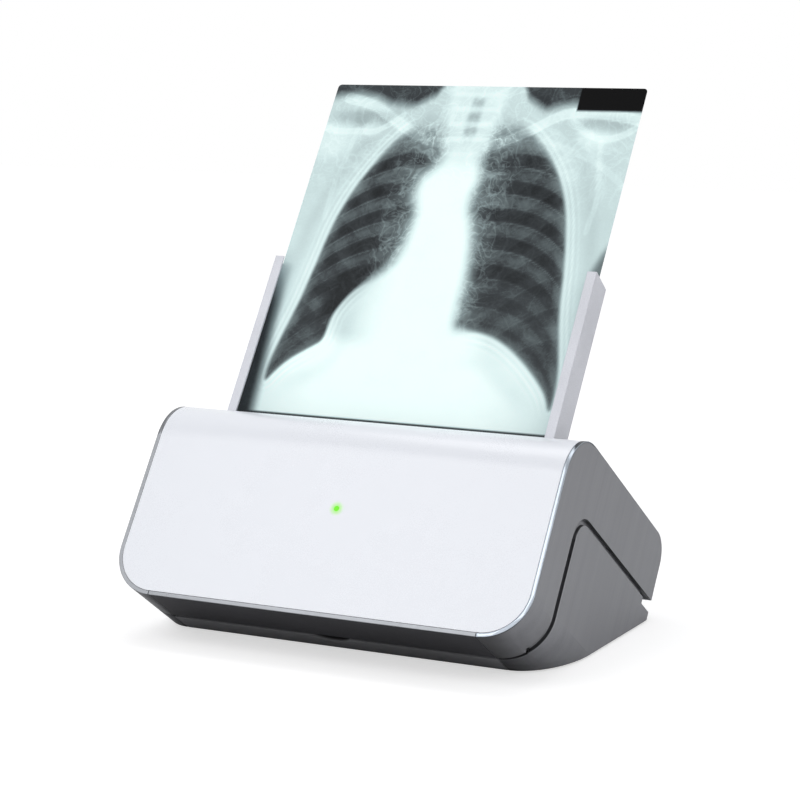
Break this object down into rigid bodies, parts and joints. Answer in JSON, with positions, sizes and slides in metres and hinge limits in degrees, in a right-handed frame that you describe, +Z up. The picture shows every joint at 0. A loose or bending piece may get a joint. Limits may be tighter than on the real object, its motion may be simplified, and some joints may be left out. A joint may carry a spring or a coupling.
{
  "type": "x-ray film scanner",
  "caption": "Desktop scanner for x-ray film: a leaning white front panel in a polished rim, a film standing in two side guides, driven rollers, and a cover hinged on its base",
  "frame": {"origin": "on the desk, under the middle of the whole outline with the film standing in its guides", "axes": "+X to the right as the white panel is faced, +Y to the back, away from the panel, +Z up"},
  "size_m": [0.443, 0.3962, 0.5287],
  "materials": {
    "white_panel": "semi-gloss lacquer",
    "polished_rim": "polished",
    "side_metal": "brushed along the panel",
    "dark_strip": "fine satin grain",
    "rear_sheet": "satin",
    "dark_bezel": "fine matte grain",
    "guide_paint": "fine satin grain",
    "inner_sheet": "plain sheet",
    "inner_steel": "dark satin",
    "bushes": "turned",
    "spring_steel": "plain",
    "diffuser": "milky",
    "boards": "satin",
    "black_metal": "matte",
    "chips": "satin",
    "belt_rubber": "matte",
    "green_light": "glowing",
    "port_metal": "plain",
    "film_sheet": "satin, with a processed picture",
    "shaft_steel": "ground",
    "roller_rubber": "ground matte",
    "pulleys": "turned",
    "rocker_black": "satin",
    "magnet_plate": "plated",
    "foot_rubber": "matte"
  },
  "bodies": {
    "base": {"base_left_cheek": "side_metal", "base_right_cheek": "side_metal", "base_front_strip": "dark_strip", "base_deck": "inner_sheet", "bottom_plate": "inner_steel", "base_side_plates": "inner_steel", "base_bearings": "bushes", "lower_idler_springs": "spring_steel", "base_hinge_ears": "inner_steel", "hinge_pins": "shaft_steel", "catch_magnets": "magnet_plate", "rubber_feet": "foot_rubber", "base_screws": "shaft_steel"},
    "cover": {"front_panel": "white_panel", "left_cheek": "side_metal", "right_cheek": "side_metal", "left_trim": "polished_rim", "right_trim": "polished_rim", "bottom_trim": "polished_rim", "lower_strip": "dark_strip", "rear_cover": "rear_sheet", "entry_bezel": "dark_bezel", "left_film_guide": "guide_paint", "right_film_guide": "guide_paint", "front_guide_plate": "inner_sheet", "cover_tray": "inner_sheet", "left_side_plate": "inner_steel", "right_side_plate": "inner_steel", "cross_rails": "inner_steel", "cover_bearings": "bushes", "upper_idler_springs": "spring_steel", "light_diffuser": "diffuser", "led_strip": "boards", "light_heat_sink": "black_metal", "optical_duct": "black_metal", "camera_housing": "black_metal", "camera_lens": "black_metal", "main_board": "boards", "board_parts": "chips", "feed_motor": "black_metal", "drive_belt": "belt_rubber", "status_light": "green_light", "status_board": "boards", "rocker_frame": "dark_bezel", "dc_jack": "dark_bezel", "usb_port": "port_metal", "cover_hinge_leaves": "inner_steel"},
    "film": {"film": "film_sheet"},
    "upper_drive": {"upper_drive_shaft": "shaft_steel", "upper_drive_sleeve": "roller_rubber", "upper_drive_pulley": "pulleys"},
    "lower_drive": {"lower_drive_shaft": "shaft_steel", "lower_drive_sleeve": "roller_rubber", "lower_drive_pulley": "pulleys"},
    "upper_idler": {"upper_idler_shaft": "shaft_steel", "upper_idler_sleeve": "roller_rubber"},
    "lower_idler": {"lower_idler_shaft": "shaft_steel", "lower_idler_sleeve": "roller_rubber"},
    "motor_rotor": {"motor_pulley": "pulleys"},
    "rocker": {"rocker_button": "rocker_black"}
  },
  "joints": [
    {"name": "cover_hinge", "type": "hinge", "parent": "base", "child": "cover", "pos_m": [0, 0.10742, 0.0226], "axis": [-1, 0, 0], "range_deg": [0, 50]},
    {"name": "film_feed", "type": "slide", "parent": "cover", "child": "film", "axis": [0, -0.5621, -0.8271], "range_m": [-0.02, 0.19]},
    {"name": "upper_drive_spin", "type": "hinge", "parent": "cover", "child": "upper_drive", "pos_m": [0, -0.05105, 0.18047], "axis": [1, 0, 0], "range_deg": [-1150, 150]},
    {"name": "lower_drive_spin", "type": "hinge", "parent": "cover", "child": "lower_drive", "pos_m": [0, -0.12862, 0.06634], "axis": [1, 0, 0], "range_deg": [-1150, 150]},
    {"name": "upper_idler_spin", "type": "hinge", "parent": "cover", "child": "upper_idler", "pos_m": [0, -0.03401, 0.16889], "axis": [1, 0, 0], "range_deg": [-150, 1150]},
    {"name": "lower_idler_spin", "type": "hinge", "parent": "base", "child": "lower_idler", "pos_m": [0, -0.11158, 0.05476], "axis": [1, 0, 0], "range_deg": [-150, 1150]},
    {"name": "motor_spin", "type": "hinge", "parent": "cover", "child": "motor_rotor", "pos_m": [0, -0.10902, 0.13644], "axis": [1, 0, 0], "range_deg": [-1650, 200]},
    {"name": "rocker_tilt", "type": "hinge", "parent": "cover", "child": "rocker", "pos_m": [-0.09, 0.12683, 0.03782], "axis": [0, 0.5621, 0.8271], "range_deg": [-16, 0]}
  ],
  "couplings": [
    {"joint": "upper_drive_spin", "follows": "film_feed", "rad_per_m": -100},
    {"joint": "lower_drive_spin", "follows": "film_feed", "rad_per_m": -100},
    {"joint": "upper_idler_spin", "follows": "film_feed", "rad_per_m": 100},
    {"joint": "lower_idler_spin", "follows": "film_feed", "rad_per_m": 100},
    {"joint": "motor_spin", "follows": "film_feed", "rad_per_m": -145.45}
  ]
}
